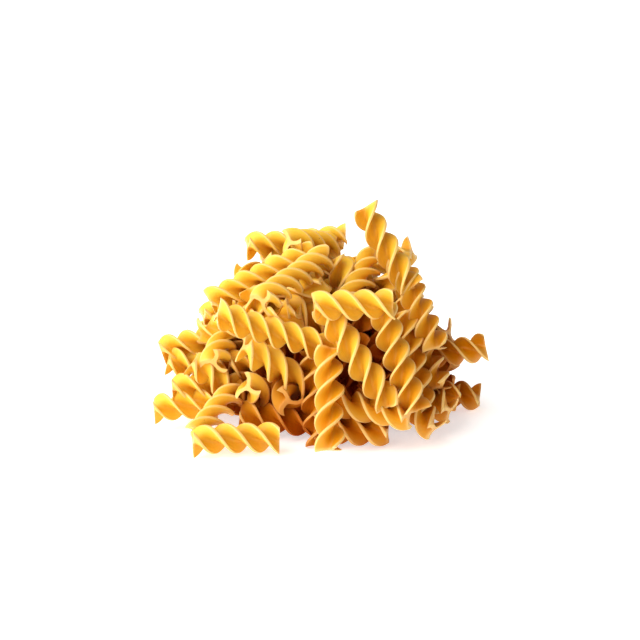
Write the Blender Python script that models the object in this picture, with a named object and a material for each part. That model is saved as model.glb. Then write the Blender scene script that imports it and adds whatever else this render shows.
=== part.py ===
"""A loose heap of dry three-finned fusilli, fused into one solid over a hidden core.

Units are metres, +Z is up. The heap lies on the floor at z = 0 and is centred on the origin.
The pieces that face the front are given one by one, as they lie in the front view. The others
follow a seeded rule. Each one is pushed inwards until it touches the dome of its layer, the
floor or another piece.
"""
import math
import random
from typing import NamedTuple

import bmesh
import bpy
import numpy as np
from mathutils import Matrix, Vector

MM = 0.001

# One fusillo
FIN_RADIUS = 5.2 * MM
VALLEY_RADIUS = 1.9 * MM
FINS = 3
TWIST_PER_SECTION = math.radians(80)

# The far end of a fusillo is cut back where it is hidden: a share of what may sink into the heap,
# and then in steps up to the core and the floor. One with less left than the last value is left out
SUNK_SHARE = 0.5
TRIM_STEP = 1 * MM
SHORTEST_SHOWN = 6 * MM

# Contact between pieces: each is a row of balls. Their fins interlock, so that the axes of two
# pieces come closer than two fin radii
NESTED_GAP = 5.6 * MM
BALL_RADIUS = 2.8 * MM
FLAT_STEP = 0.05
BALL_SPACING = 3.0 * MM
END_INSET = 3.0 * MM

# The outline of the whole heap, a dome with its flat side on the floor, and the layers in it
OUTLINE_RADII = Vector((53, 47, 61)) * MM
LAYER = Vector((8, 8, 8)) * MM

# The hidden inner pasta
CORE_RADII = Vector((37, 29, 46)) * MM
CORE_CENTRE = Vector((0, 7, 0)) * MM
CORE_SEGMENTS = 20
CORE_RINGS = 6
CUT_TOLERANCE = 1e-7

# The front view, from an eye in front of the heap and a little above it
EYE_DISTANCE = 500 * MM
EYE_ELEVATION = math.radians(15)
VIEW_CENTRE = Vector((0, 0, 32)) * MM
RIGHT = Vector((1, 0, 0))
AHEAD = Vector((0, math.cos(EYE_ELEVATION), -math.sin(EYE_ELEVATION)))
UPWARD = RIGHT.cross(AHEAD)
EYE = VIEW_CENTRE - AHEAD * EYE_DISTANCE
NEAREST = -85
DEEPEST = 70

# The back and the flanks, covered by a seeded rule inside the outline of the whole heap
FILL_SEED = 11
FILL_BEARINGS = (math.radians(-40), math.radians(220))
FILL_RADII = Vector((46, 43, 56)) * MM
FILL_SLACK = 3 * MM
FILL_START = 60 * MM
FILL_LENGTHS = (32 * MM, 39 * MM)
FILL_STEPS = (5.8 * MM, 6.8 * MM)
FILL_GIRTHS = (0.93, 1.0)

PASTA_COLOUR = (0.80, 0.47, 0.10, 1)
PASTA_ROUGHNESS = 0.5


class Lie(NamedTuple):
    """How a fusillo lies in the front view, in millimetres and degrees."""

    across: float  # of its first end, to the right
    up: float
    heading: float  # of its axis in the view, anticlockwise from the right
    lean: float  # of its axis away from the viewer
    length: float
    crest: float  # from the first end to where a fin points to the left of the heading
    step: float  # between two such crests
    layer: int  # that it rests on, 0 for the outermost
    bury: float = 0  # length at the far end that may sink into the heap
    deepest: float = DEEPEST  # of the first end, behind the centre of the view
    girth: float = 1  # against the usual fin radius


class Placed(NamedTuple):
    """A fusillo in its place: first end, axis, side of its first crest, and its own sizes."""

    start: Vector
    axis: Vector
    side: Vector
    length: float
    crest: float
    step: float
    girth: float
    bury: float  # length at the far end that may sink into the heap


class Fill(NamedTuple):
    """One pass of the rule that covers the back: how many tries, and how its fusilli may lie."""

    tries: int
    levels: tuple  # least and most height on the dome, as a share of it
    tilt: float  # most that they slope, in degrees
    dips: tuple  # least and most that the far end points into the heap, in degrees
    bury: float  # millimetres at the far end that may sink into the heap
    gap: float  # millimetres between the axes of neighbours


FILLS = (
    Fill(300, (0.11, 0.13), 2, (0, 0), 0, 6.0),
    Fill(400, (0.28, 0.38), 25, (0, 10), 0, 6.2),
    Fill(600, (0.45, 0.75), 80, (0, 15), 0, 6.4),
    Fill(400, (0.75, 1), 80, (0, 5), 0, 6.4),
    Fill(500, (0.11, 1), 80, (20, 50), 18, 6.4),
    Fill(250, (0.11, 1), 80, (45, 70), 25, 6.4),
)

BACK_AND_TOP = (
    Lie(-19.0, 18.5, 14, 10, 27, 2.0, 6.2, 2, 0, 9),
    Lie(-24.2, 24.3, 6, 12, 34, 2.0, 6.2, 1, 10, 6),
    Lie(-10.3, 26.0, -1, 50, 22, 1.0, 6.4, 0, 0, -2),
    Lie(8.2, 18.6, -56, 20, 24, 2.0, 6.0, 2, 0, 2),
    Lie(30.6, 23.3, 200, 12, 30, 2.0, 6.4, 2, 18, 0),
    Lie(43.3, -4.0, 192, 35, 32, 1.0, 6.4, 1, 20, 0),
    Lie(-39.0, 1.0, 8, 20, 32, 2.0, 6.0, 2, 20, -4),
    Lie(-36.7, 6.0, 25.8, 12, 38, 0.5, 5.8, 1, 6, -15),
    Lie(5.3, 20.7, -70, -5, 26, 2.0, 6.4, 2, 10, -8),
    Lie(0.7, 13.5, 215, 20, 28, 1.0, 6.4, 1, 14, -18),
    Lie(-19.3, 6.0, 37.5, 45, 34, 1.0, 5.8, 1, 4),
    Lie(10.0, 6.0, 62, 40, 23, 1.0, 5.8, 1),
)
SIDES = (
    Lie(-53.0, -10.2, 14, 4, 36, 2.0, 6.2, 1, 16, -6),
    Lie(-50.7, -14.0, -8, 8, 34, 1.0, 6.2, 2, 20, -8),
    Lie(-49.3, -22.7, 5, 8, 34, 2.0, 6.0, 2, 20, -12),
    Lie(-42.3, -14.0, -36, 14, 32, 1.0, 6.2, 1, 16, -18),
    Lie(-35.0, -14.0, 74, 58, 32, 0.5, 6.0, 1, 20, -22),
    Lie(-55.3, -29.7, 8, 2, 36, 2.0, 6.2, 2, 18),
    Lie(55.3, -9.2, 187, 4, 36, 3.5, 5.8, 1, 20, -2),
    Lie(53.3, -25.3, 178, 6, 36, 2.0, 6.2, 1, 24),
    Lie(46.3, -25.3, 174, 4, 36, 0.5, 6.4, 1, 20),
)
FRONT = (
    Lie(-12.3, 5.7, -30, 8, 30, 2.0, 6.2, 2, 4, -16),
    Lie(30.0, 10.0, -98, -8, 32, 2.0, 6.2, 1, 8, -10),
    Lie(27.3, 2.7, -78, -8, 34, 2.0, 6.2, 1, 8),
    Lie(39.0, -9.3, 113, 14, 34, 4.9, 5.8, 1, 8),
    Lie(14.7, 37.3, -60.5, -6, 30.3, 5.0, 7.3, 0, 4, -10, 0.97),
    Lie(-30.3, -14.7, -5, 12, 32, 1.0, 6.2, 2, 18),
    Lie(-2.5, -10.0, -86, 0, 30, 1.0, 6.2, 1, 16),
    Lie(-10.7, -26.7, 110, 70, 28, 1.0, 6.2, 1, 22, -22),
    Lie(-24.0, -22.7, -30, 58, 30, 1.0, 6.2, 1, 24, -26),
    Lie(24.0, -30.0, 170, 22, 28, 1.0, 6.2, 1, 12, -20),
    Lie(29.7, -31.7, 172, 24, 28, 1.0, 6.2, 2, 12),
    Lie(43.3, -30.0, 150, 26, 28, 1.0, 6.2, 1, 18),
    Lie(38.3, -36.0, 135, 30, 32, 1.0, 6.2, 1, 24, -29),
    Lie(20.0, 5.0, -71.5, -2, 34.5, 0.5, 6.4, 1),
    Lie(0.7, 5.0, -55.9, 0, 37.5, 4.5, 6.9, 0),
    Lie(-2.0, 4.7, 1, 5, 24, 0.8, 6.5, 0),
    Lie(-26.7, -32.3, -7, -4, 34, 1.0, 6.6, 2, 10),
    Lie(22.7, -37.4, 176, 6, 23, 1.0, 6.4, 2, 6, -30),
    Lie(-40.2, -38.3, 52, 48, 34, 5.0, 6.2, 1, 10),
    Lie(-25.7, -8.7, -32.8, 22, 28, 2.0, 6.8, 1, 4, DEEPEST, 1.1),
    Lie(-34.3, 1.7, -16.8, 10, 39, 4.8, 5.85, 0),
    Lie(3.4, -43.2, 91, 16, 32, 0.0, 7.0, 0, 0, DEEPEST, 0.96),
    Lie(-42.5, -40.0, 1.5, 8, 27, 2.0, 6.8, 2),
)


def view_point(across, up, depth):
    """The point seen at these millimetres across and up the front view, this far behind its centre."""
    spread = (EYE_DISTANCE + depth * MM) / EYE_DISTANCE
    return EYE + (AHEAD * EYE_DISTANCE + RIGHT * across * MM + UPWARD * up * MM) * spread


def ball_row(placed):
    """Centres of the balls that stand for a fusillo, up to the end that may sink into the heap."""
    length = placed.length - placed.bury
    count = max(2, round((length - 2 * END_INSET) / BALL_SPACING) + 1)
    along = np.linspace(END_INSET, length - END_INSET, count)
    return np.array(placed.start)[None, :] + along[:, None] * np.array(placed.axis)[None, :]


def first_root(half_b, c, a=1.0):
    """The smaller positive root of a t^2 + 2 half_b t + c, wherever there is one."""
    gap = half_b**2 - a * c
    roots = (-half_b - np.sqrt(np.maximum(gap, 0))) / a
    return roots[(gap > 0) & (c > 0) & (roots > 0)]


def free_travel(balls, direction, others, reach, dome, gap):
    """How far a row of balls can travel before it touches the floor, the dome or another ball."""
    step = np.array(direction)
    stops = [reach]
    if step[2] < -FLAT_STEP:
        stops.append(float(np.min((FIN_RADIUS - balls[:, 2]) / step[2])))
    radii = np.array(dome) + BALL_RADIUS
    scaled = balls / radii
    scaled_step = step / radii
    stops.extend(first_root(scaled @ scaled_step, (scaled**2).sum(1) - 1, scaled_step @ scaled_step))
    if len(others):
        apart = balls[:, None, :] - others[None, :, :]
        stops.extend(first_root(apart @ step, (apart**2).sum(2) - gap**2))
    return max(min(stops), 0.0)


class Heap:
    """The pieces placed so far, and the balls that later ones come to rest on."""

    def __init__(self):
        self.placed = []
        self.balls = np.empty((0, 3))

    def push_in(self, placed, direction, reach, dome, gap):
        """The same fusillo, slid from its start until it touches."""
        travel = free_travel(ball_row(placed), direction, self.balls, reach, dome, gap)
        return placed._replace(start=placed.start + direction * travel)

    def keep(self, placed):
        """Adds a fusillo, for later ones to rest on."""
        self.placed.append(placed)
        self.balls = np.vstack([self.balls, ball_row(placed)])

    def add_in_view(self, lie):
        """Pushes a fusillo along the line of sight of its first end."""
        heading, lean = math.radians(lie.heading), math.radians(lie.lean)
        flat = RIGHT * math.cos(heading) + UPWARD * math.sin(heading)
        axis = flat * math.cos(lean) + AHEAD * math.sin(lean)
        start = view_point(lie.across, lie.up, NEAREST)
        reach = (view_point(lie.across, lie.up, lie.deepest) - start).length
        placed = Placed(start, axis, axis.cross(AHEAD).normalized(), lie.length * MM, lie.crest * MM,
                        lie.step * MM, lie.girth, lie.bury * MM)
        dome = OUTLINE_RADII - LAYER * (lie.layer + 1)
        self.keep(self.push_in(placed, (start - EYE).normalized(), reach, dome, NESTED_GAP))

    def fill_by_rule(self, rng, fill):
        """Pushes fusilli in from all over the back, and keeps those that end up inside the outline."""
        dome = FILL_RADII - LAYER
        allowed = np.array(dome) + 2 * BALL_RADIUS + FILL_SLACK
        for _ in range(fill.tries):
            target, outward = point_on_dome(rng.uniform(*FILL_BEARINGS), rng.uniform(*fill.levels), dome)
            tilt = math.radians(rng.uniform(-fill.tilt, fill.tilt))
            dip = math.radians(rng.uniform(*fill.dips))
            around = Vector((-outward.y, outward.x, 0)).normalized()
            along = around * math.cos(tilt) + outward.cross(around) * math.sin(tilt)
            axis = along * math.cos(dip) - outward * math.sin(dip)
            length = rng.uniform(*FILL_LENGTHS)
            start = target + outward * FILL_START - along * (length - fill.bury * MM) / 2
            crest = rng.uniform(0, FILL_STEPS[0])
            step = rng.uniform(*FILL_STEPS)
            girth = rng.uniform(*FILL_GIRTHS)
            side = axis.cross(outward).normalized()
            placed = Placed(start, axis, side, length, crest, step, girth, fill.bury * MM)
            placed = self.push_in(placed, -outward, FILL_START + LAYER.x, dome, fill.gap * MM)
            row = ball_row(placed)
            if ((row / allowed) ** 2).sum(1).max() < 1 and row[:, 2].min() > FIN_RADIUS - TRIM_STEP:
                self.keep(placed)


def point_on_dome(bearing, height_share, radii):
    """A point of a dome, and the direction straight out of it."""
    level = math.sqrt(1 - height_share**2)
    ball = (math.cos(bearing) * level, math.sin(bearing) * level, height_share)
    point = Vector([ball[k] * radii[k] for k in range(3)])
    return point, Vector([ball[k] / radii[k] for k in range(3)]).normalized()


def shown_length(placed):
    """The length of a fusillo up to where it is hidden, or would go below the floor."""
    half_height = FIN_RADIUS * placed.girth * math.sqrt(1 - placed.axis.z**2)
    along = placed.length - SUNK_SHARE * placed.bury
    while along > SHORTEST_SHOWN:
        end = placed.start + placed.axis * along
        from_centre = end - CORE_CENTRE
        inside = sum((from_centre[k] / CORE_RADII[k]) ** 2 for k in range(3)) < 1
        if end.z > half_height and not inside:
            break
        along -= TRIM_STEP
    return along


def fusillo(name, placed, length):
    """One solid with three fins: a star section, turned and drawn along its axis."""
    pitch = FINS * placed.step
    turn = math.tau * length / pitch
    sections = round(turn / TWIST_PER_SECTION)
    first_turn = -math.tau * placed.crest / pitch
    bm = bmesh.new()
    corners = []
    for index in range(2 * FINS):
        radius = placed.girth * (VALLEY_RADIUS if index % 2 else FIN_RADIUS)
        angle = first_turn + math.pi * index / FINS
        corners.append(bm.verts.new((radius * math.cos(angle), radius * math.sin(angle), 0)))
    face = bm.faces.new(corners)
    bmesh.ops.spin(bm, geom=[face], axis=(0, 0, 1), cent=(0, 0, 0), dvec=(0, 0, length / sections),
                   angle=turn, steps=sections)
    bmesh.ops.recalc_face_normals(bm, faces=bm.faces)
    third = placed.axis.cross(placed.side)
    turned = Matrix((placed.side, third, placed.axis)).transposed().to_4x4()
    bmesh.ops.transform(bm, matrix=Matrix.Translation(placed.start) @ turned, verts=bm.verts)
    bmesh.ops.triangulate(bm, faces=bm.faces)
    return new_object(name, bm)


def new_object(name, bm):
    """Writes a bmesh to a new object in the scene."""
    mesh = bpy.data.meshes.new(name)
    bm.to_mesh(mesh)
    bm.free()
    shape = bpy.data.objects.new(name, mesh)
    bpy.context.scene.collection.objects.link(shape)
    return shape


def core():
    """The hidden dome of inner pasta, with a flat base on the floor."""
    bm = bmesh.new()
    bmesh.ops.create_uvsphere(bm, u_segments=CORE_SEGMENTS, v_segments=2 * CORE_RINGS, radius=1)
    bmesh.ops.scale(bm, vec=CORE_RADII, verts=bm.verts)
    bmesh.ops.translate(bm, vec=CORE_CENTRE, verts=bm.verts)
    everything = bm.verts[:] + bm.edges[:] + bm.faces[:]
    cut = bmesh.ops.bisect_plane(bm, geom=everything, dist=CUT_TOLERANCE, plane_co=(0, 0, 0),
                                 plane_no=(0, 0, 1), clear_inner=True)
    rim = [item for item in cut["geom_cut"] if isinstance(item, bmesh.types.BMEdge)]
    bmesh.ops.holes_fill(bm, edges=rim, sides=0)
    bmesh.ops.recalc_face_normals(bm, faces=bm.faces)
    bmesh.ops.triangulate(bm, faces=bm.faces)
    return new_object("fusilli_heap", bm)


def fuse(body, pieces):
    """Unites the pieces with the body, and removes their own objects."""
    group = bpy.data.collections.new("fusilli")
    for piece in pieces:
        group.objects.link(piece)
    union = body.modifiers.new("union", "BOOLEAN")
    union.operation = "UNION"
    union.operand_type = "COLLECTION"
    union.collection = group
    evaluated = body.evaluated_get(bpy.context.evaluated_depsgraph_get())
    fused = bpy.data.meshes.new_from_object(evaluated)
    body.modifiers.remove(union)
    body.data = fused
    bpy.data.collections.remove(group)
    for piece in pieces:
        bpy.data.objects.remove(piece)


def keep_largest_shell(body):
    """Drops loose scraps and the walls of hollows that the union sealed."""
    bm = bmesh.new()
    bm.from_mesh(body.data)
    unseen = set(bm.verts)
    shells = []
    while unseen:
        shell = {unseen.pop()}
        front = list(shell)
        while front:
            vert = front.pop()
            fresh = {edge.other_vert(vert) for edge in vert.link_edges} & unseen
            unseen -= fresh
            shell |= fresh
            front.extend(fresh)
        shells.append(shell)
    shells.sort(key=len)
    loose = [vert for shell in shells[:-1] for vert in shell]
    bmesh.ops.delete(bm, geom=loose, context="VERTS")
    bm.to_mesh(body.data)
    bm.free()


def centre_on_floor(body):
    """Moves the mesh so that its box is centred on the origin and stands on the floor."""
    points = [vert.co for vert in body.data.vertices]
    lowest = Vector(map(min, zip(*points)))
    highest = Vector(map(max, zip(*points)))
    middle = (lowest + highest) / 2
    body.data.transform(Matrix.Translation((-middle.x, -middle.y, 0)))


def dry_pasta():
    """Matt golden durum wheat."""
    material = bpy.data.materials.new("dry_pasta")
    material.use_nodes = True
    shader = material.node_tree.nodes["Principled BSDF"]
    shader.inputs["Base Color"].default_value = PASTA_COLOUR
    shader.inputs["Roughness"].default_value = PASTA_ROUGHNESS
    shader.inputs["Metallic"].default_value = 0
    return material


def lay_heap():
    """Where every fusillo of the heap lies."""
    heap = Heap()
    for lie in BACK_AND_TOP + SIDES + FRONT:
        heap.add_in_view(lie)
    rng = random.Random(FILL_SEED)
    for fill in FILLS:
        heap.fill_by_rule(rng, fill)
    return heap.placed


def main():
    for old in list(bpy.data.objects):
        bpy.data.objects.remove(old)
    body = core()
    pieces = [fusillo(f"fusillo_{index:02d}", placed, shown_length(placed))
              for index, placed in enumerate(lay_heap()) if shown_length(placed) > SHORTEST_SHOWN]
    fuse(body, pieces)
    keep_largest_shell(body)
    centre_on_floor(body)
    body.data.materials.clear()
    body.data.materials.append(dry_pasta())


if __name__ == "__main__":
    main()
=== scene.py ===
"""A loose heap of dry three-finned fusilli, each one modelled, on a plain white studio floor.

Units are metres, +Z is up. The heap lies on the floor at z = 0 and is centred on the origin.
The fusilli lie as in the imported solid: those that face the front are given one by one, as they
lie in the front view, and the others follow a seeded rule.
"""
import functools
import math
import random
from typing import NamedTuple

import bmesh
import bpy
import numpy as np
from bpy.props import FloatProperty, FloatVectorProperty, IntProperty, PointerProperty
from mathutils import Matrix, Vector, noise


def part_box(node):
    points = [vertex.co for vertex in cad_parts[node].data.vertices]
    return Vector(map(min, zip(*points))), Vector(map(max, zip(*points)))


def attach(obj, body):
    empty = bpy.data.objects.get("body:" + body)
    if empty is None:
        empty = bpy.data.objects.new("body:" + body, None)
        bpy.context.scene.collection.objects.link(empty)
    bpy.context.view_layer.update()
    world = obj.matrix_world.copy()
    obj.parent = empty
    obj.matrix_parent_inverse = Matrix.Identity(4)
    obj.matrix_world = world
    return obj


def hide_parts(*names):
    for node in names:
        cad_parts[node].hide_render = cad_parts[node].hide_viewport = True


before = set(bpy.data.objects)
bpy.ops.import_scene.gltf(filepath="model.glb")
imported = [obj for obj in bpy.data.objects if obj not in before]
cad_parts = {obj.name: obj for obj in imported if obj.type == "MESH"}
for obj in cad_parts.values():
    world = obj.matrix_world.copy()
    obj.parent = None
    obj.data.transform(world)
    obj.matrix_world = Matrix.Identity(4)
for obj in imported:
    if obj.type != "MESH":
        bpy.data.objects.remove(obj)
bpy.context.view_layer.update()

bl_info = {
    "name": "Fusilli heap",
    "version": (1, 0, 0),
    "blender": (4, 5, 0),
    "location": "3D View > Sidebar > Fusilli",
    "description": "Lays a loose heap of dry fusilli on its packed solid, with a studio round it",
    "category": "Add Mesh",
}

MM = 0.001
HEAP_NODE = "fusilli_heap"
BODY = "root"

# The light, which comes from the left, from above and a little from the front
KEY_DIRECTION = Vector((-0.8, -0.4, 0.6))
LIGHT_COLOUR = (1.0, 0.98, 0.94)
FLOOR_SIDES = 64

# One fusillo, with the fins at their widest
FINS = 3
FIN_RADIUS = 5.2 * MM

# Contact between pieces: each is a row of balls. Their fins interlock, so that the axes of two
# pieces come closer than two fin radii
NESTED_GAP = 5.6 * MM
BALL_RADIUS = 2.8 * MM
BALL_SPACING = 3.0 * MM
END_INSET = 3.0 * MM
# A piece that sinks less steeply than this doesn't look for the floor
FLAT_STEP = 0.05

# The outline of the whole heap, a dome with its flat side on the floor, and the layers in it
OUTLINE_RADII = Vector((53, 47, 61)) * MM
LAYER = Vector((8, 8, 8)) * MM

# How deep a point counts as, from its place in that dome, where 1 is on the outline and 0 is in the
# middle: not at all deep outside the first of these, and in the dark inside the second. The depth
# sets the painted shade that darkens the dough deep in the heap
LIT_FROM = 0.90
DARK_BELOW = 0.62
# Seen from this point, the left and the top of the heap face the light: they get painted light, with
# paler dough, and count as less deep, so they get less painted shade
PAINTED_LIGHT_FROM = Vector((5, 0, 15)) * MM
PAINTED_LIGHT_SIDE = Vector((-0.75, 0.1, 0.65)).normalized()
PAINTED_LIGHT_SHIFT = 0.12

# The inside of the heap: a layer of short fusilli that show through the gaps
INNER_RADII = Vector((39, 31, 48)) * MM
INNER_CENTRE = Vector((0, 7, 0)) * MM
INNER_TRIES = 900
INNER_LEVELS = (0.05, 1)
INNER_TILT = math.radians(80)
INNER_LENGTHS = (20 * MM, 30 * MM)
INNER_SLACK = 3 * MM
INNER_GAP = 6.4 * MM
INNER_COARSENESS = 1.8

# The dark core under them: a lumpy dome, cut off flat just above the floor. It is painted shade, a
# dark body put where the inside of the heap lies in shadow
CORE_RADII = Vector((29, 21, 37)) * MM
CORE_DETAIL = 5
CORE_LUMPS = 2.5
CORE_FRACTAL = (1.0, 2.0, 3)
CORE_RELIEF = 0.08
CORE_LIFT = 0.4 * MM

# The front view, from an eye in front of the heap and a little above it, and how far before and
# behind its centre a first end may lie, in millimetres
EYE_DISTANCE = 500 * MM
EYE_ELEVATION = math.radians(15)
VIEW_CENTRE = Vector((0, 0, 32)) * MM
RIGHT = Vector((1, 0, 0))
AHEAD = Vector((0, math.cos(EYE_ELEVATION), -math.sin(EYE_ELEVATION)))
UPWARD = RIGHT.cross(AHEAD)
EYE = VIEW_CENTRE - AHEAD * EYE_DISTANCE
SENSOR_WIDTH = 36
VIEW_WIDTH = 640 / 3 * MM
NEAREST = -85
DEEPEST = 70

# The back and the flanks, covered by a seeded rule inside the outline of the whole heap
FILL_SEED = 11
FILL_BEARINGS = (math.radians(-40), math.radians(220))
FILL_RADII = Vector((46, 43, 56)) * MM
FILL_SLACK = 3 * MM
FILL_SINK = 1 * MM
FILL_START = 60 * MM
FILL_LENGTHS = (32 * MM, 39 * MM)
FILL_STEPS = (5.8 * MM, 6.8 * MM)
FILL_GIRTHS = (0.93, 1.0)


class Lie(NamedTuple):
    """How a fusillo lies in the front view, in millimetres and degrees."""

    across: float  # of its first end, to the right
    up: float
    heading: float  # of its axis in the view, anticlockwise from the right
    lean: float  # of its axis away from the viewer
    length: float
    crest: float  # from the first end to where a fin points to the left of the heading
    step: float  # between two such crests
    layer: int  # that it rests on, 0 for the outermost
    bury: float = 0  # length at the far end that may sink into the heap
    deepest: float = DEEPEST  # of the first end, behind the centre of the view
    girth: float = 1  # against the usual fin radius


class Placed(NamedTuple):
    """A fusillo in its place: first end, axis, side of its first crest, and its own sizes."""

    start: Vector
    axis: Vector
    side: Vector
    length: float
    crest: float
    step: float
    girth: float
    bury: float  # length at the far end that may sink into the heap


class Fill(NamedTuple):
    """One pass of the rule that covers the back: how many tries, and how its fusilli may lie."""

    tries: int
    levels: tuple  # least and most height on the dome, as a share of it
    tilt: float  # most that they slope, in degrees
    dips: tuple  # least and most that the far end points into the heap, in degrees
    bury: float  # millimetres at the far end that may sink into the heap
    gap: float  # millimetres between the axes of neighbours


FILLS = (
    Fill(300, (0.11, 0.13), 2, (0, 0), 0, 6.0),
    Fill(400, (0.28, 0.38), 25, (0, 10), 0, 6.2),
    Fill(600, (0.45, 0.75), 80, (0, 15), 0, 6.4),
    Fill(400, (0.75, 1), 80, (0, 5), 0, 6.4),
    Fill(500, (0.11, 1), 80, (20, 50), 18, 6.4),
    Fill(250, (0.11, 1), 80, (45, 70), 25, 6.4),
)

BACK_AND_TOP = (
    Lie(-19.0, 18.5, 14, 10, 27, 2.0, 6.2, 2, 0, 9),
    Lie(-24.2, 24.3, 6, 12, 34, 2.0, 6.2, 1, 10, 6),
    Lie(-10.3, 26.0, -1, 50, 22, 1.0, 6.4, 0, 0, -2),
    Lie(8.2, 18.6, -56, 20, 24, 2.0, 6.0, 2, 0, 2),
    Lie(30.6, 23.3, 200, 12, 30, 2.0, 6.4, 2, 18, 0),
    Lie(43.3, -4.0, 192, 35, 32, 1.0, 6.4, 1, 20, 0),
    Lie(-39.0, 1.0, 8, 20, 32, 2.0, 6.0, 2, 20, -4),
    Lie(-36.7, 6.0, 25.8, 12, 38, 0.5, 5.8, 1, 6, -15),
    Lie(5.3, 20.7, -70, -5, 26, 2.0, 6.4, 2, 10, -8),
    Lie(0.7, 13.5, 215, 20, 28, 1.0, 6.4, 1, 14, -18),
    Lie(-19.3, 6.0, 37.5, 45, 34, 1.0, 5.8, 1, 4),
    Lie(10.0, 6.0, 62, 40, 23, 1.0, 5.8, 1),
)
SIDES = (
    Lie(-53.0, -10.2, 14, 4, 36, 2.0, 6.2, 1, 16, -6),
    Lie(-50.7, -14.0, -8, 8, 34, 1.0, 6.2, 2, 20, -8),
    Lie(-49.3, -22.7, 5, 8, 34, 2.0, 6.0, 2, 20, -12),
    Lie(-42.3, -14.0, -36, 14, 32, 1.0, 6.2, 1, 16, -18),
    Lie(-35.0, -14.0, 74, 58, 32, 0.5, 6.0, 1, 20, -22),
    Lie(-55.3, -29.7, 8, 2, 36, 2.0, 6.2, 2, 18),
    Lie(55.3, -9.2, 187, 4, 36, 3.5, 5.8, 1, 20, -2),
    Lie(53.3, -25.3, 178, 6, 36, 2.0, 6.2, 1, 24),
    Lie(46.3, -25.3, 174, 4, 36, 0.5, 6.4, 1, 20),
)
FRONT = (
    Lie(-12.3, 5.7, -30, 8, 30, 2.0, 6.2, 2, 4, -16),
    Lie(30.0, 10.0, -98, -8, 32, 2.0, 6.2, 1, 8, -10),
    Lie(27.3, 2.7, -78, -8, 34, 2.0, 6.2, 1, 8),
    Lie(39.0, -9.3, 113, 14, 34, 4.9, 5.8, 1, 8),
    Lie(14.7, 37.3, -60.5, -6, 30.3, 5.0, 7.3, 0, 4, -10, 0.97),
    Lie(-30.3, -14.7, -5, 12, 32, 1.0, 6.2, 2, 18),
    Lie(-2.5, -10.0, -86, 0, 30, 1.0, 6.2, 1, 16),
    Lie(-10.7, -26.7, 110, 70, 28, 1.0, 6.2, 1, 22, -22),
    Lie(-24.0, -22.7, -30, 58, 30, 1.0, 6.2, 1, 24, -26),
    Lie(24.0, -30.0, 170, 22, 28, 1.0, 6.2, 1, 12, -20),
    Lie(29.7, -31.7, 172, 24, 28, 1.0, 6.2, 2, 12),
    Lie(43.3, -30.0, 150, 26, 28, 1.0, 6.2, 1, 18),
    Lie(38.3, -36.0, 135, 30, 32, 1.0, 6.2, 1, 24, -29),
    Lie(20.0, 5.0, -71.5, -2, 34.5, 0.5, 6.4, 1),
    Lie(0.7, 5.0, -55.9, 0, 37.5, 4.5, 6.9, 0),
    Lie(-2.0, 4.7, 1, 5, 24, 0.8, 6.5, 0),
    Lie(-26.7, -32.3, -7, -4, 34, 1.0, 6.6, 2, 10),
    Lie(22.7, -37.4, 176, 6, 23, 1.0, 6.4, 2, 6, -30),
    Lie(-40.2, -38.3, 52, 48, 34, 5.0, 6.2, 1, 10),
    Lie(-25.7, -8.7, -32.8, 22, 28, 2.0, 6.8, 1, 4, DEEPEST, 1.1),
    Lie(-34.3, 1.7, -16.8, 10, 39, 4.8, 5.85, 0),
    Lie(3.4, -43.2, 91, 16, 32, 0.0, 7.0, 0, 0, DEEPEST, 0.96),
    Lie(-42.5, -40.0, 1.5, 8, 27, 2.0, 6.8, 2),
)


def view_point(across, up, depth):
    """The point seen at these millimetres across and up the front view, so deep behind its centre."""
    spread = (EYE_DISTANCE + depth * MM) / EYE_DISTANCE
    return EYE + (AHEAD * EYE_DISTANCE + RIGHT * across * MM + UPWARD * up * MM) * spread


def ball_row(placed):
    """Centres of the balls that stand for a fusillo, up to the end that may sink into the heap."""
    length = placed.length - placed.bury
    count = max(2, round((length - 2 * END_INSET) / BALL_SPACING) + 1)
    along = np.linspace(END_INSET, length - END_INSET, count)
    return np.array(placed.start)[None, :] + along[:, None] * np.array(placed.axis)[None, :]


def first_root(half_b, c, a=1.0):
    """The smaller positive root of a t^2 + 2 half_b t + c, wherever there is one."""
    gap = half_b**2 - a * c
    roots = (-half_b - np.sqrt(np.maximum(gap, 0))) / a
    return roots[(gap > 0) & (c > 0) & (roots > 0)]


def free_travel(balls, direction, others, reach, dome, gap):
    """How far a row of balls can travel before it touches the floor, the dome or another ball."""
    step = np.array(direction)
    stops = [reach]
    if step[2] < -FLAT_STEP:
        stops.append(float(np.min((FIN_RADIUS - balls[:, 2]) / step[2])))
    radii = np.array(dome) + BALL_RADIUS
    scaled = balls / radii
    scaled_step = step / radii
    stops.extend(first_root(scaled @ scaled_step, (scaled**2).sum(1) - 1, scaled_step @ scaled_step))
    if len(others):
        apart = balls[:, None, :] - others[None, :, :]
        stops.extend(first_root(apart @ step, (apart**2).sum(2) - gap**2))
    return max(min(stops), 0.0)


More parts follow.
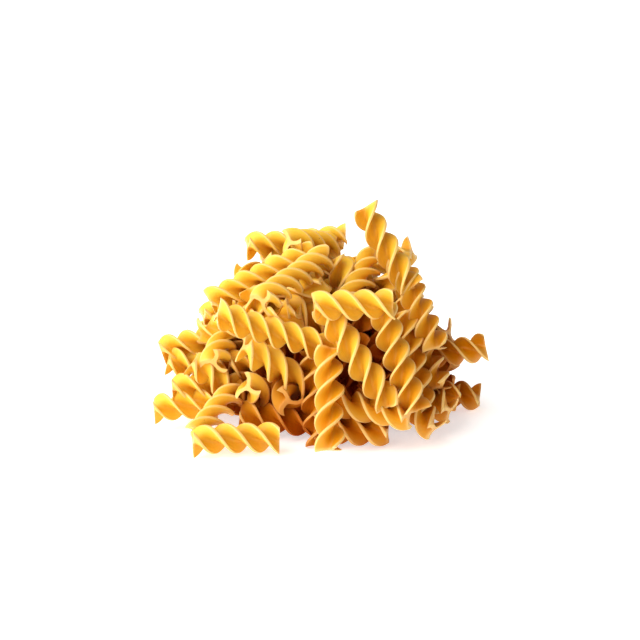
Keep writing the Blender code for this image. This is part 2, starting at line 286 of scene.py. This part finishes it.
class Heap:
    """The pieces placed so far, and the balls that later ones come to rest on."""

    def __init__(self):
        self.placed = []
        self.balls = np.empty((0, 3))

    def push_in(self, placed, direction, reach, dome, gap):
        """The same fusillo, slid from its start until it touches."""
        travel = free_travel(ball_row(placed), direction, self.balls, reach, dome, gap)
        return placed._replace(start=placed.start + direction * travel)

    def keep(self, placed):
        """Adds a fusillo, for later ones to rest on."""
        self.placed.append(placed)
        self.balls = np.vstack([self.balls, ball_row(placed)])

    def add_in_view(self, lie):
        """Pushes a fusillo along the line of sight of its first end."""
        heading, lean = math.radians(lie.heading), math.radians(lie.lean)
        flat = RIGHT * math.cos(heading) + UPWARD * math.sin(heading)
        axis = flat * math.cos(lean) + AHEAD * math.sin(lean)
        start = view_point(lie.across, lie.up, NEAREST)
        reach = (view_point(lie.across, lie.up, lie.deepest) - start).length
        placed = Placed(start, axis, axis.cross(AHEAD).normalized(), lie.length * MM, lie.crest * MM,
                        lie.step * MM, lie.girth, lie.bury * MM)
        dome = OUTLINE_RADII - LAYER * (lie.layer + 1)
        self.keep(self.push_in(placed, (start - EYE).normalized(), reach, dome, NESTED_GAP))

    def fill_by_rule(self, rng, fill):
        """Pushes fusilli in from all over the back, and keeps those that end up inside the outline."""
        dome = FILL_RADII - LAYER
        allowed = np.array(dome) + 2 * BALL_RADIUS + FILL_SLACK
        for _ in range(fill.tries):
            bearing = rng.uniform(*FILL_BEARINGS)
            target, outward = point_on_dome(bearing, rng.uniform(*fill.levels), dome)
            tilt = math.radians(rng.uniform(-fill.tilt, fill.tilt))
            dip = math.radians(rng.uniform(*fill.dips))
            around = Vector((-outward.y, outward.x, 0)).normalized()
            along = around * math.cos(tilt) + outward.cross(around) * math.sin(tilt)
            axis = along * math.cos(dip) - outward * math.sin(dip)
            length = rng.uniform(*FILL_LENGTHS)
            start = target + outward * FILL_START - along * (length - fill.bury * MM) / 2
            crest = rng.uniform(0, FILL_STEPS[0])
            step = rng.uniform(*FILL_STEPS)
            girth = rng.uniform(*FILL_GIRTHS)
            side = axis.cross(outward).normalized()
            placed = Placed(start, axis, side, length, crest, step, girth, fill.bury * MM)
            placed = self.push_in(placed, -outward, FILL_START + LAYER.x, dome, fill.gap * MM)
            if lies_inside(placed, allowed, FIN_RADIUS - FILL_SINK):
                self.keep(placed)


def lies_inside(placed, dome, lowest):
    """Whether all the balls of a fusillo lie inside a dome and above this height."""
    row = ball_row(placed)
    return ((row / dome) ** 2).sum(1).max() < 1 and row[:, 2].min() > lowest


def point_on_dome(bearing, height_share, radii):
    """A point of a dome, and the direction straight out of it."""
    level = math.sqrt(1 - height_share**2)
    ball = (math.cos(bearing) * level, math.sin(bearing) * level, height_share)
    point = Vector([ball[k] * radii[k] for k in range(3)])
    return point, Vector([ball[k] / radii[k] for k in range(3)]).normalized()


def lay_inside(rng):
    """Shorter fusilli laid flat and at random all over a smaller dome, under the outer layers."""
    heap = Heap()
    dome = INNER_RADII - LAYER
    allowed = np.array(dome) + 2 * BALL_RADIUS + INNER_SLACK
    for _ in range(INNER_TRIES):
        bearing = rng.uniform(0, math.tau)
        target, outward = point_on_dome(bearing, rng.uniform(*INNER_LEVELS), dome)
        tilt = rng.uniform(-INNER_TILT, INNER_TILT)
        around = Vector((-outward.y, outward.x, 0)).normalized()
        axis = around * math.cos(tilt) + outward.cross(around) * math.sin(tilt)
        length = rng.uniform(*INNER_LENGTHS)
        start = target + outward * FILL_START - axis * length / 2
        crest = rng.uniform(0, FILL_STEPS[0])
        step = rng.uniform(*FILL_STEPS)
        girth = rng.uniform(*FILL_GIRTHS)
        side = axis.cross(outward).normalized()
        placed = Placed(start, axis, side, length, crest, step, girth, 0)
        placed = heap.push_in(placed, -outward, FILL_START, dome, INNER_GAP)
        if lies_inside(placed, allowed, FIN_RADIUS):
            heap.keep(placed)
    return [placed._replace(start=placed.start + INNER_CENTRE) for placed in heap.placed]


@functools.cache
def lay_heap():
    """Every fusillo of the heap by piece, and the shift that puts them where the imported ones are.

    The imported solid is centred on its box, so its box gives the shift.
    """
    heap = Heap()
    groups = {}
    for name, table in (("fusilli_top", BACK_AND_TOP), ("fusilli_sides", SIDES), ("fusilli_front", FRONT)):
        first = len(heap.placed)
        for lie in table:
            heap.add_in_view(lie)
        groups[name] = heap.placed[first:]
    rng = random.Random(FILL_SEED)
    first = len(heap.placed)
    for fill in FILLS:
        heap.fill_by_rule(rng, fill)
    groups["fusilli_back"] = heap.placed[first:]
    groups["fusilli_inside"] = lay_inside(rng)
    low, high = ends_box(heap.placed)
    cad_low, cad_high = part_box(HEAP_NODE)
    shift = (cad_low + cad_high - low - high) / 2
    shift.z = 0
    shifted = {name: [placed._replace(start=placed.start + shift) for placed in group]
               for name, group in groups.items()}
    return shifted, shift


def ends_box(pieces):
    """The lowest and highest corners of the round bars that the fusilli fit in."""
    corners = []
    for placed in pieces:
        for end in (placed.start, placed.start + placed.axis * placed.length):
            reach = [FIN_RADIUS * placed.girth * math.sqrt(1 - placed.axis[k] ** 2) for k in range(3)]
            corners += [end - Vector(reach), end + Vector(reach)]
    return Vector(map(min, zip(*corners))), Vector(map(max, zip(*corners)))


class FusilloShape(bpy.types.PropertyGroup):
    """The form of one dry fusillo."""

    fin_thickness: FloatProperty(name="Fin thickness", description="Thickness of a fin",
                                 default=1.15 * MM, min=0.7 * MM, max=3 * MM, subtype="DISTANCE")
    valley_radius: FloatProperty(name="Valley radius", description="Radius of the hollow between two fins",
                                 default=1.7 * MM, min=0.5 * MM, max=5 * MM, subtype="DISTANCE")
    curl: FloatProperty(name="Curl", description="How far a fin's edge is turned from its root",
                        default=math.radians(24), min=0, max=1, subtype="ANGLE")
    section_turn: FloatProperty(name="Section turn", description="Turn from one section to the next",
                                default=math.radians(14), min=0.05, max=1, subtype="ANGLE")
    flare: FloatProperty(name="Flare", description="How much wider the fins spread at the cut ends",
                         default=0.05, min=0, max=0.3, subtype="FACTOR")
    bend: FloatProperty(name="Bend", description="How far a fusillo is bent off its straight axis",
                        default=0.8 * MM, min=0, max=3 * MM, subtype="DISTANCE")
    unevenness: FloatProperty(name="Unevenness", description="How much the width of the fins varies",
                              default=0.06, min=0, max=0.3, subtype="FACTOR")
    seed: IntProperty(name="Seed", description="Chooses the small differences between fusilli",
                      default=5, min=0)


class PastaColours(bpy.types.PropertyGroup):
    """The colours and the surface of the dry dough, with the colours of the painted light and shade on it.
    """

    golden: FloatVectorProperty(name="Golden", description="The dough on the faces of the fins", size=3,
                                default=(0.71, 0.29, 0.001), min=0, max=1, subtype="COLOR")
    # Lemon is the dough of the palest fusilli, and also the painted light on the side of the heap that
    # faces the light
    lemon: FloatVectorProperty(name="Lemon", description="The dough of the palest fusilli", size=3,
                               default=(0.98, 0.60, 0.045), min=0, max=1, subtype="COLOR")
    # Painted shade: this colour darkens the shaded side of the heap, the valleys between the fins and the
    # dough deeper in the heap, and makes the blotches on the dark core
    painted_shade_amber: FloatVectorProperty(name="Amber", description="The dough deep in the valleys", size=3,
                               default=(0.56, 0.165, 0.001), min=0, max=1, subtype="COLOR")
    # Cream is the colour of the pale cut ends, and of a painted highlight along the fins' edges and a
    # painted sheen on their thin outer parts
    cream: FloatVectorProperty(name="Cream", description="The rubbed edges and the cut ends", size=3,
                               default=(0.90, 0.58, 0.20), min=0, max=1, subtype="COLOR")
    bran: FloatVectorProperty(name="Bran", description="The tiny brown specks in the dough", size=3,
                              default=(0.35, 0.11, 0.02), min=0, max=1, subtype="COLOR")
    # Painted shade: the dark inside of the heap, on the dough deep in it and on the core
    painted_dark_shade: FloatVectorProperty(name="Depths", description="The dark inside of the heap", size=3,
                                default=(0.30, 0.032, 0.0), min=0, max=1, subtype="COLOR")
    roughness: FloatProperty(name="Roughness", description="Roughness of the dry surface",
                             default=0.46, min=0, max=1, subtype="FACTOR")


class StudioLights(bpy.types.PropertyGroup):
    """The floor and the lights."""

    floor_radius: FloatProperty(name="Floor radius", description="Radius of the round floor",
                                default=6.0, min=0.3, max=20, subtype="DISTANCE")
    key_strength: FloatProperty(name="Key light", description="Strength of the light from the left",
                                default=4.4, min=0, max=50)
    key_angle: FloatProperty(name="Key width", description="How wide the light looks from the heap",
                             default=math.radians(80), min=0, max=math.pi, subtype="ANGLE")
    sky_strength: FloatProperty(name="Sky strength", description="Strength of the white surroundings",
                                default=0.36, min=0, max=5)
    floor_glow: FloatProperty(name="Floor glow", description="Strength of the white floor's own light",
                              default=0.56, min=0, max=5)


class Paint:
    """A material's node tree, with one method that adds any node."""

    def __init__(self, name):
        self.material = bpy.data.materials.new(name)
        self.material.use_nodes = True
        self.tree = self.material.node_tree
        self.shader = self.tree.nodes["Principled BSDF"]

    def node(self, kind, settings=None, sockets=None, output=0):
        """Adds a node with these settings, then fills or links its sockets, and gives one output."""
        made = self.tree.nodes.new(kind)
        for key, value in (settings or {}).items():
            setattr(made, key, value)
        for key, value in (sockets or {}).items():
            self.connect(made.inputs[key], value)
        return Signal(self, made.outputs[output])

    def connect(self, socket, value):
        """Links a signal to a socket, or sets the socket to a plain value."""
        if isinstance(value, Signal):
            self.tree.links.new(value.socket, socket)
        elif socket.type == "RGBA":
            socket.default_value = (*value, 1)
        else:
            socket.default_value = value

    def blend(self, share, base, top, mode="MIX"):
        """A colour between two others."""
        settings = {"data_type": "RGBA", "blend_type": mode}
        return self.node("ShaderNodeMix", settings, {0: share, 6: base, 7: top}, output=2)

    def attribute(self, name, output="Fac"):
        """A value stored at each point of the mesh."""
        return self.node("ShaderNodeAttribute", {"attribute_name": name}, output=output)

    def noise(self, place, scale, detail, **others):
        """Soft random blotches, this many to a unit of length."""
        sockets = {"Vector": place, "Scale": scale, "Detail": detail, **others}
        return self.node("ShaderNodeTexNoise", None, sockets)

    def fade(self, value, none_at, full_at, full):
        """A share that rises smoothly with a value, from 0 to its full amount."""
        sockets = {"Value": value, "From Min": none_at, "From Max": full_at, "To Min": 0.0, "To Max": full}
        return self.node("ShaderNodeMapRange", {"interpolation_type": "SMOOTHSTEP"}, sockets)

    def finish(self, **sockets):
        """Fills the surface shader's sockets and gives the material."""
        for key, value in sockets.items():
            self.connect(self.shader.inputs[key.replace("_", " ")], value)
        return self.material


class Signal:
    """One value in a material. Sums and products with it add Math nodes."""

    def __init__(self, paint, socket):
        self.paint = paint
        self.socket = socket

    def maths(self, operation, *values, clamp=False):
        settings = {"operation": operation, "use_clamp": clamp}
        return self.paint.node("ShaderNodeMath", settings, dict(enumerate(values)))

    def __add__(self, other):
        return self.maths("ADD", self, other)

    def __radd__(self, other):
        return self.maths("ADD", other, self)

    def __sub__(self, other):
        return self.maths("SUBTRACT", self, other)

    def __rsub__(self, other):
        return self.maths("SUBTRACT", other, self)

    def __mul__(self, other):
        return self.maths("MULTIPLY", self, other)

    def __rmul__(self, other):
        return self.maths("MULTIPLY", other, self)

    def __gt__(self, other):
        return self.maths("GREATER_THAN", self, other)

    def __lt__(self, other):
        return self.maths("LESS_THAN", self, other)

    def clamped(self):
        return self.maths("ADD", self, 0.0, clamp=True)


# The patterns in the dough, in blotches or cells to a metre
CLOUD_SCALE = 120.0
GRAIN_SCALE = 2500.0
SPECK_SCALE = 330.0
# How large a speck is in its cell, and how many cells have one
SPECK_SIZE = 0.055
SPECK_CHANCE = 0.38
# Flow lines follow the fins: their scale round the section, along the axis and by fusillo
FLOW_SCALE = (2.4, 0.12, 1)
# What makes the dough yellower: the fusillo's own tone, the painted light on the side of the heap that
# faces the light, and the clouds, less an offset
TONE_YELLOW = 0.5
PAINTED_LIGHT_YELLOW = 1.4
CLOUD_YELLOW = 0.4
YELLOW_OFFSET = 0.5


def dry_pasta(colours):
    """Dry durum wheat dough: golden faces, cream edges that are a painted highlight, flow lines along the
    fins and tiny specks, with painted light on the side that faces the light and painted shade on the
    other side, in the valleys and deep in the heap.
    """
    made = bpy.data.materials.get("dry_pasta_dough")
    if made:
        return made
    paint = Paint("dry_pasta_dough")
    place = paint.node("ShaderNodeTexCoord", output="Object")
    reach = paint.attribute("reach")
    tone = paint.attribute("tone")
    cut = paint.attribute("cut")
    depth = paint.attribute("depth")
    painted_light_side = paint.attribute("painted_light_side")
    flow = paint.attribute("flow", "Vector")

    stretched = paint.node("ShaderNodeMapping", None, {"Vector": flow, "Scale": FLOW_SCALE})
    lines = paint.noise(stretched, scale=1.0, detail=4.0, Roughness=0.6)
    clouds = paint.noise(place, scale=CLOUD_SCALE, detail=3.0)
    grains = paint.noise(place, scale=GRAIN_SCALE, detail=2.0)

    # The faces of the fins, with painted light, yellower on the side that faces the light, and painted
    # shade, more amber on the other side and in the valleys
    yellow = tone * TONE_YELLOW + painted_light_side * PAINTED_LIGHT_YELLOW + (clouds - 0.5) * CLOUD_YELLOW - YELLOW_OFFSET
    body = paint.blend(yellow.clamped(), colours.golden, colours.lemon)
    body = paint.blend(paint.fade(painted_light_side, none_at=0.6, full_at=0.2, full=0.35), body, colours.painted_shade_amber)
    body = paint.blend(paint.fade(reach, none_at=0.8, full_at=0.2, full=0.4), body, colours.painted_shade_amber)

    # A painted sheen on the thin outer part of a fin, a painted highlight along its edge, and the pale cut
    # ends
    body = paint.blend(paint.fade(reach, none_at=0.55, full_at=1.0, full=0.16), body, colours.cream)
    painted_highlight = paint.fade(reach + (lines - 0.5) * 0.06, none_at=0.92, full_at=0.98, full=0.8)
    body = paint.blend((painted_highlight + cut * 0.7).clamped(), body, colours.cream)

    # Painted shade: deeper in the heap the dough is amber at first and then dark
    body = paint.blend((depth * 2.0).clamped() * 0.75, body, colours.painted_shade_amber)
    body = paint.blend(depth * 0.9, body, colours.painted_dark_shade)

    # Paler and darker flow lines, and the specks
    level = paint.node("ShaderNodeMapRange", None, {"Value": lines, "From Min": 0.3, "From Max": 0.7,
                                                    "To Min": 0.95, "To Max": 1.03})
    streaks = paint.node("ShaderNodeCombineColor", None, {0: level, 1: level, 2: level})
    body = paint.blend(1.0, body, streaks, "MULTIPLY")
    cells = {"Vector": place, "Scale": SPECK_SCALE}
    from_middle = paint.node("ShaderNodeTexVoronoi", {"feature": "F1"}, cells)
    cell_colour = paint.node("ShaderNodeTexVoronoi", {"feature": "F1"}, cells, output="Color")
    chance = paint.node("ShaderNodeSeparateColor", None, {"Color": cell_colour})
    speck = (from_middle < SPECK_SIZE) * (chance > 1 - SPECK_CHANCE)
    body = paint.blend(speck * 0.8, body, colours.bran)

    height = lines * 0.6 + grains * 0.4
    bump = paint.node("ShaderNodeBump", None, {"Strength": 0.35, "Distance": 0.12 * MM, "Height": height})
    rough = (grains - 0.5) * 0.25 + depth * 0.4 + colours.roughness
    return paint.finish(
        Base_Color=body,
        Roughness=rough.clamped(),
        Normal=bump,
        Subsurface_Weight=0.15,
        Subsurface_Radius=(3.5 * MM, 1.6 * MM, 0.4 * MM),
        Subsurface_Scale=1.0,
        Specular_IOR_Level=0.08,
        Specular_Tint=colours.cream,
        Coat_Weight=(0.45 - depth).clamped(),
        Coat_Roughness=0.4,
        Coat_IOR=1.45,
    )


def painted_shade_core(colours):
    """Painted shade for the inside of the heap, which lies in shadow: dark, with blotches of dim dough."""
    paint = Paint("shadowed_depths")
    place = paint.node("ShaderNodeTexCoord", output="Object")
    blotches = paint.noise(place, scale=160.0, detail=3.0)
    body = paint.blend(blotches * 0.5, colours.painted_dark_shade, colours.painted_shade_amber)
    bump = paint.node("ShaderNodeBump", None, {"Strength": 0.5, "Distance": 0.5 * MM, "Height": blotches})
    return paint.finish(Base_Color=body, Roughness=0.7, Normal=bump)


def pale_floor(glow):
    """The white matt top of a light table, with the faintest mottling."""
    paint = Paint("white_floor")
    place = paint.node("ShaderNodeTexCoord", output="Object")
    mottle = paint.noise(place, scale=40.0, detail=2.0)
    body = paint.blend(mottle, (0.93, 0.93, 0.93), (0.96, 0.96, 0.96))
    return paint.finish(Base_Color=body, Roughness=0.75, Emission_Color=body, Emission_Strength=glow)


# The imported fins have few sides, so that their edges run from 4 to 5.2 mm off the axis. Real ones
# lie in between
SHOWN_GIRTH = 0.91
# How many straight steps and steps round the hollow an arm's outline has on each side
ARM_STEPS = 2
HOLLOW_STEPS = 4
# The fins are cut off square, with slightly rounded corners. A row of points beside each corner
# keeps the faces flat up to it
CORNER_RADIUS = 0.28 * MM
CORNER_STAY = 0.22 * MM
# How far in from a cut end the fins spread, and its pale colour shows
FLARE_LENGTH = 1.6 * MM
CUT_LENGTH = 0.35 * MM
# How far out of square an end is cut, as a slope
SLANT = 0.12
# The fins' width varies in two waves along a fusillo, the second one shorter and weaker
UNEVEN_LENGTH = 8 * MM
SECOND_WAVE_RATE = 2.3
SECOND_WAVE = 0.6
# The share of its bend that a bent fusillo is moved back by, so that it lies about its straight axis
MEAN_BOW = 0.6
# How much the curl varies from one fusillo to the next
CURL_SPREAD = (0.7, 1.3)
# How far apart the flow patterns of the fusilli lie
TONE_SPREAD = 50


def star_outline(shape, radius, curl):
    """The points round a section with three curled arms, all of one thickness."""
    half = shape.fin_thickness / 2
    hollow = shape.valley_radius
    foot = (half + hollow) / math.tan(math.pi / FINS)
    angles = [math.pi / FINS / 2 * step / HOLLOW_STEPS for step in range(HOLLOW_STEPS + 1)]
    rising = [(foot - hollow * math.sin(angle), half + hollow * (1 - math.cos(angle)))
              for angle in reversed(angles)]
    flat = radius - CORNER_RADIUS - foot
    rising += [(foot + flat * step / ARM_STEPS, half) for step in range(1, ARM_STEPS)]
    rising.append((radius - CORNER_RADIUS - CORNER_STAY, half))
    cut = CORNER_RADIUS * (1 - math.sqrt(0.5))
    corner = [(radius - CORNER_RADIUS, half), (radius - cut, half - cut), (radius, half - CORNER_RADIUS)]
    arm = [(along, -side) for along, side in rising + corner]
    arm += [(along, side) for along, side in reversed(rising[1:] + corner)]
    points = []
    for fin in range(FINS):
        heading = math.tau * fin / FINS
        for along, side in arm:
            out = math.hypot(along, side)
            share = (out / radius) ** 2
            widened = side * math.hypot(1, 2 * curl * share)
            points.append((out, heading + math.atan2(widened, along) - curl * share))
    return [Vector((out * math.cos(angle), out * math.sin(angle), 0)) for out, angle in points]


def straight_fusillo(placed, shape, section_turn, curl):
    """A new mesh of one fusillo along +Z: its star section is spun while it is drawn along the axis."""
    pitch = FINS * placed.step
    turn = math.tau * placed.length / pitch
    sections = round(turn / section_turn)
    first_turn = Matrix.Rotation(-math.tau * placed.crest / pitch, 3, "Z")
    bm = bmesh.new()
    around = bm.verts.layers.float.new("around")
    outline = star_outline(shape, FIN_RADIUS * SHOWN_GIRTH * placed.girth, curl)
    travelled = 0.0
    profile = []
    for index, point in enumerate(outline):
        travelled += (point - outline[index - 1]).length / MM
        vert = bm.verts.new(first_turn @ point)
        vert[around] = travelled
        profile.append(vert)
    face = bm.faces.new(profile)
    rise = (0, 0, placed.length / sections)
    bmesh.ops.spin(bm, geom=[face], axis=(0, 0, 1), cent=(0, 0, 0), dvec=rise, angle=turn, steps=sections)
    bmesh.ops.recalc_face_normals(bm, faces=bm.faces)
    for face in bm.faces:
        face.smooth = len(face.verts) == 4
        if not face.smooth:
            for edge in face.edges:
                edge.smooth = False
    mesh = bpy.data.meshes.new("fusillo")
    bm.to_mesh(mesh)
    bm.free()
    return mesh


def make_uneven(mesh, placed, shape, rng):
    """Bends a fusillo a little, flares its cut ends, and stores what its colours follow."""
    count = len(mesh.vertices)
    points = np.empty(count * 3, np.float32)
    mesh.vertices.foreach_get("co", points)
    points = points.reshape(-1, 3)
    across, along = points[:, :2], points[:, 2].copy()
    out = np.hypot(across[:, 0], across[:, 1])
    arm = np.arctan2(across[:, 1], across[:, 0]) - math.tau * along / (FINS * placed.step)
    from_ends = along, placed.length - along
    near = [np.exp(-distance / FLARE_LENGTH) for distance in from_ends]
    phases = [rng.uniform(0, math.tau) for _ in range(4)]
    wave = np.sin(along / UNEVEN_LENGTH + phases[0]) * np.sin(arm + phases[1])
    second = np.sin(SECOND_WAVE_RATE * along / UNEVEN_LENGTH + phases[2]) * np.sin(2 * arm + phases[3])
    wave += SECOND_WAVE * second
    swell = 1 + shape.unevenness * wave + shape.flare * (near[0] + near[1])
    slants = np.array([[rng.uniform(-SLANT, SLANT) for _ in range(2)] for _ in range(2)])
    slant = near[0] * (across @ slants[0]) + near[1] * (across @ slants[1])
    bend = np.array([rng.uniform(-1, 1), rng.uniform(-1, 1)]) * shape.bend
    share = along / placed.length
    bow = 4 * share * (1 - share) - MEAN_BOW
    tone = rng.random()
    points[:, :2] = across * swell[:, None] + bow[:, None] * bend[None, :]
    points[:, 2] = along + slant
    mesh.vertices.foreach_set("co", points.ravel())
    around = np.empty(count, np.float32)
    mesh.attributes["around"].data.foreach_get("value", around)
    values = {"reach": out / (FIN_RADIUS * SHOWN_GIRTH * placed.girth), "tone": np.full(count, tone),
              "cut": sum(np.exp(-distance / CUT_LENGTH) for distance in from_ends)}
    for name, value in values.items():
        mesh.attributes.new(name, "FLOAT", "POINT").data.foreach_set("value", value.astype(np.float32))
    flow = np.stack([around, along / MM, np.full(count, TONE_SPREAD * tone)], axis=1).astype(np.float32)
    mesh.attributes.new("flow", "FLOAT_VECTOR", "POINT").data.foreach_set("vector", flow.ravel())


def put_in_place(mesh, placed):
    """Turns a fusillo from +Z to its axis, moves it to its start and lifts it clear of the floor."""
    third = placed.axis.cross(placed.side)
    turned = Matrix((placed.side, third, placed.axis)).transposed().to_4x4()
    mesh.transform(Matrix.Translation(placed.start) @ turned)
    points = np.empty(len(mesh.vertices) * 3, np.float32)
    mesh.vertices.foreach_get("co", points)
    points = points.reshape(-1, 3)
    points[:, 2] -= min(0, points[:, 2].min())
    mesh.vertices.foreach_set("co", points.ravel())
    # Stored for the colours: how deep each point lies in the heap, for the painted shade, and how far it
    # lies towards the side that faces the light, for the painted light
    _, shift = lay_heap()
    points -= np.array(shift)
    outward = np.linalg.norm(points / np.array(OUTLINE_RADII), axis=1)
    offset = points - np.array(PAINTED_LIGHT_FROM)
    pale = offset @ np.array(PAINTED_LIGHT_SIDE) / np.linalg.norm(offset, axis=1)
    depth = np.clip((LIT_FROM - outward - PAINTED_LIGHT_SHIFT * pale) / (LIT_FROM - DARK_BELOW), 0, 1)
    for name, value in (("depth", depth), ("painted_light_side", (1 + pale) / 2)):
        mesh.attributes.new(name, "FLOAT", "POINT").data.foreach_set("value", value.astype(np.float32))


def lay_group(context, name, coarseness=1):
    """Models one group of fusilli as a piece that rides with the heap and stands for its solid."""
    scene = context.scene
    shape = scene.fusillo_shape
    groups, _ = lay_heap()
    rng = random.Random(f"{name} {shape.seed}")
    bm = bmesh.new()
    for placed in groups[name]:
        curl = shape.curl * rng.uniform(*CURL_SPREAD)
        mesh = straight_fusillo(placed, shape, shape.section_turn * coarseness, curl)
        make_uneven(mesh, placed, shape, rng)
        put_in_place(mesh, placed)
        bm.from_mesh(mesh)
        bpy.data.meshes.remove(mesh)
    return new_piece(name, bm, dry_pasta(scene.pasta_colours))


def new_piece(name, bm, material):
    """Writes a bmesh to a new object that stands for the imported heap."""
    mesh = bpy.data.meshes.new(name)
    bm.to_mesh(mesh)
    bm.free()
    mesh.materials.append(material)
    piece = bpy.data.objects.new(name, mesh)
    bpy.context.scene.collection.objects.link(piece)
    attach(piece, BODY)
    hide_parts(HEAP_NODE)
    return piece


class FUSILLI_OT_top(bpy.types.Operator):
    """Lay the fusilli along the top of the heap and just behind it"""

    bl_idname = "fusilli.lay_top"
    bl_label = "Lay the Top"

    def execute(self, context):
        lay_group(context, "fusilli_top")
        return {"FINISHED"}


class FUSILLI_OT_sides(bpy.types.Operator):
    """Lay the fusilli that stick out to the left and the right"""

    bl_idname = "fusilli.lay_sides"
    bl_label = "Lay the Sides"

    def execute(self, context):
        lay_group(context, "fusilli_sides")
        return {"FINISHED"}


class FUSILLI_OT_front(bpy.types.Operator):
    """Lay the fusilli that face the front"""

    bl_idname = "fusilli.lay_front"
    bl_label = "Lay the Front"

    def execute(self, context):
        lay_group(context, "fusilli_front")
        return {"FINISHED"}


class FUSILLI_OT_back(bpy.types.Operator):
    """Lay the fusilli that cover the back and the flanks"""

    bl_idname = "fusilli.lay_back"
    bl_label = "Lay the Back"

    def execute(self, context):
        lay_group(context, "fusilli_back")
        return {"FINISHED"}


class FUSILLI_OT_inside(bpy.types.Operator):
    """Lay the fusilli that show through the gaps, with fewer sections each"""

    bl_idname = "fusilli.lay_inside"
    bl_label = "Lay the Inside"

    def execute(self, context):
        lay_group(context, "fusilli_inside", INNER_COARSENESS)
        return {"FINISHED"}


class FUSILLI_OT_core(bpy.types.Operator):
    """Model the dark core in the middle of the heap, painted shade for its shadowed inside"""

    bl_idname = "fusilli.model_core"
    bl_label = "Model the Core"

    def execute(self, context):
        bm = bmesh.new()
        bmesh.ops.create_icosphere(bm, subdivisions=CORE_DETAIL, radius=1)
        for vert in bm.verts:
            lump = noise.fractal(vert.co * CORE_LUMPS, *CORE_FRACTAL)
            vert.co = Vector([vert.co[k] * CORE_RADII[k] * (1 + CORE_RELIEF * lump) for k in range(3)])
        _, shift = lay_heap()
        bmesh.ops.translate(bm, vec=INNER_CENTRE + shift, verts=bm.verts)
        cut = bmesh.ops.bisect_plane(bm, geom=bm.verts[:] + bm.edges[:] + bm.faces[:], dist=1e-7,
                                     plane_co=(0, 0, CORE_LIFT), plane_no=(0, 0, 1), clear_inner=True)
        rim = [item for item in cut["geom_cut"] if isinstance(item, bmesh.types.BMEdge)]
        base = bmesh.ops.holes_fill(bm, edges=rim, sides=0)["faces"]
        bmesh.ops.recalc_face_normals(bm, faces=bm.faces)
        for face in bm.faces:
            face.smooth = face not in base
        new_piece("heap_core", bm, painted_shade_core(context.scene.pasta_colours))
        return {"FINISHED"}


class FUSILLI_OT_studio(bpy.types.Operator):
    """Set up the floor, the lights, the white surroundings and the camera"""

    bl_idname = "fusilli.set_studio"
    bl_label = "Set Up the Studio"

    def execute(self, context):
        scene = context.scene
        lights = scene.studio_lights
        _, shift = lay_heap()
        middle = VIEW_CENTRE + shift
        self.add_floor(scene, lights)
        self.add_light(scene, lights, middle)
        self.add_surroundings(scene, lights)
        self.add_camera(scene, middle)
        return {"FINISHED"}

    def add_floor(self, scene, lights):
        """A wide round floor at the heap's foot."""
        bm = bmesh.new()
        bmesh.ops.create_circle(bm, cap_ends=True, segments=FLOOR_SIDES, radius=lights.floor_radius)
        mesh = bpy.data.meshes.new("studio_floor")
        bm.to_mesh(mesh)
        bm.free()
        mesh.materials.append(pale_floor(lights.floor_glow))
        ground = bpy.data.objects.new("studio_floor", mesh)
        scene.collection.objects.link(ground)

    def add_light(self, scene, lights, middle):
        """One broad light from the left."""
        lamp = bpy.data.lights.new("key_light", "SUN")
        lamp.energy = lights.key_strength
        lamp.angle = lights.key_angle
        lamp.color = LIGHT_COLOUR
        holder = bpy.data.objects.new("key_light", lamp)
        holder.location = middle + KEY_DIRECTION
        holder.rotation_euler = (-KEY_DIRECTION).to_track_quat("-Z", "Y").to_euler()
        scene.collection.objects.link(holder)

    def add_surroundings(self, scene, lights):
        """White all round, shown in plain colours."""
        world = bpy.data.worlds.new("white_surroundings")
        world.use_nodes = True
        background = world.node_tree.nodes["Background"]
        background.inputs["Color"].default_value = (1, 1, 1, 1)
        background.inputs["Strength"].default_value = lights.sky_strength
        scene.world = world
        scene.view_settings.view_transform = "Standard"

    def add_camera(self, scene, middle):
        """A camera that sees the heap as the front view does."""
        camera = bpy.data.cameras.new("front_camera")
        camera.sensor_width = SENSOR_WIDTH
        camera.lens = SENSOR_WIDTH * EYE_DISTANCE / VIEW_WIDTH
        holder = bpy.data.objects.new("front_camera", camera)
        holder.location = middle - AHEAD * EYE_DISTANCE
        holder.rotation_euler = AHEAD.to_track_quat("-Z", "Y").to_euler()
        scene.collection.objects.link(holder)
        scene.camera = holder


class FUSILLI_PT_heap(bpy.types.Panel):
    """Lists the sizes, the colours and the steps"""

    bl_label = "Fusilli Heap"
    bl_idname = "FUSILLI_PT_heap"
    bl_space_type = "VIEW_3D"
    bl_region_type = "UI"
    bl_category = "Fusilli"

    def draw(self, context):
        scene = context.scene
        for group in (scene.fusillo_shape, scene.pasta_colours, scene.studio_lights):
            box = self.layout.box()
            for key in group.__annotations__:
                box.prop(group, key)
        for operator in OPERATORS:
            self.layout.operator(operator.bl_idname)


GROUPS = (FusilloShape, PastaColours, StudioLights)
OPERATORS = (FUSILLI_OT_core, FUSILLI_OT_inside, FUSILLI_OT_back, FUSILLI_OT_top, FUSILLI_OT_sides,
             FUSILLI_OT_front, FUSILLI_OT_studio)


def register():
    for kind in (*GROUPS, *OPERATORS, FUSILLI_PT_heap):
        bpy.utils.register_class(kind)
    bpy.types.Scene.fusillo_shape = PointerProperty(type=FusilloShape)
    bpy.types.Scene.pasta_colours = PointerProperty(type=PastaColours)
    bpy.types.Scene.studio_lights = PointerProperty(type=StudioLights)


def unregister():
    del bpy.types.Scene.fusillo_shape
    del bpy.types.Scene.pasta_colours
    del bpy.types.Scene.studio_lights
    for kind in reversed((*GROUPS, *OPERATORS, FUSILLI_PT_heap)):
        bpy.utils.unregister_class(kind)


def main():
    register()
    bpy.ops.fusilli.model_core()
    bpy.ops.fusilli.lay_inside()
    bpy.ops.fusilli.lay_back()
    bpy.ops.fusilli.lay_top()
    bpy.ops.fusilli.lay_sides()
    bpy.ops.fusilli.lay_front()
    bpy.ops.fusilli.set_studio()


if __name__ == "__main__":
    main()
